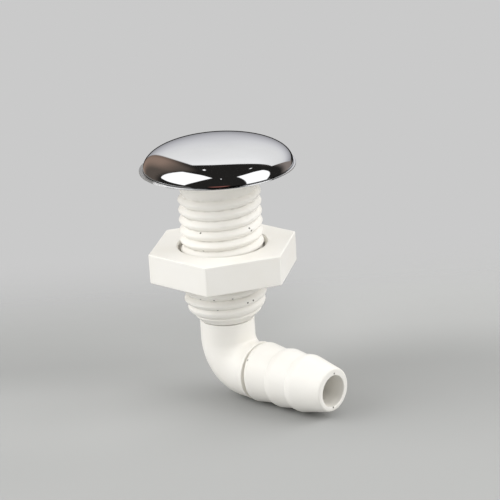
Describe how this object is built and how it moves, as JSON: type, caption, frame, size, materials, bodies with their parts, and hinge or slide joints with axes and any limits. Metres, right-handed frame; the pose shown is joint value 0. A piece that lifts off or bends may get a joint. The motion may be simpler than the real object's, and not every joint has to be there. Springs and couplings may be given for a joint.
{
  "type": "thru hull fitting",
  "caption": "Elbowed thru hull vent fitting with a polished dome cap, threaded shank, hex nut and hose barb.",
  "frame": {"origin": "on the shank's axis, in the plane where the flange meets the hull", "axes": "+Z along the shank out of the hull towards the dome cap, +X along the hose barb towards its mouth"},
  "size_m": [0.0619, 0.0448, 0.0763],
  "materials": {
    "polished_cap": "mirror polished",
    "white_moulding": "smooth moulded",
    "insert_moulding": "plain moulded",
    "stainless": "plain rolled"
  },
  "bodies": {
    "fitting": {"threaded_body": "white_moulding", "elbow_tail": "white_moulding", "flame_screen": "stainless", "screen_ring": "stainless"},
    "nut": {"hex_nut": "white_moulding"},
    "cap": {"cap_shell": "polished_cap", "cap_insert": "insert_moulding"}
  },
  "joints": [
    {"name": "nut_travel", "type": "slide", "parent": "fitting", "child": "nut", "axis": [0, 0, 1], "range_m": [-0.0125, 0.0215]},
    {"name": "cap_pull", "type": "slide", "parent": "fitting", "child": "cap", "axis": [0, 0, 1], "range_m": [0, 0.0125]}
  ]
}
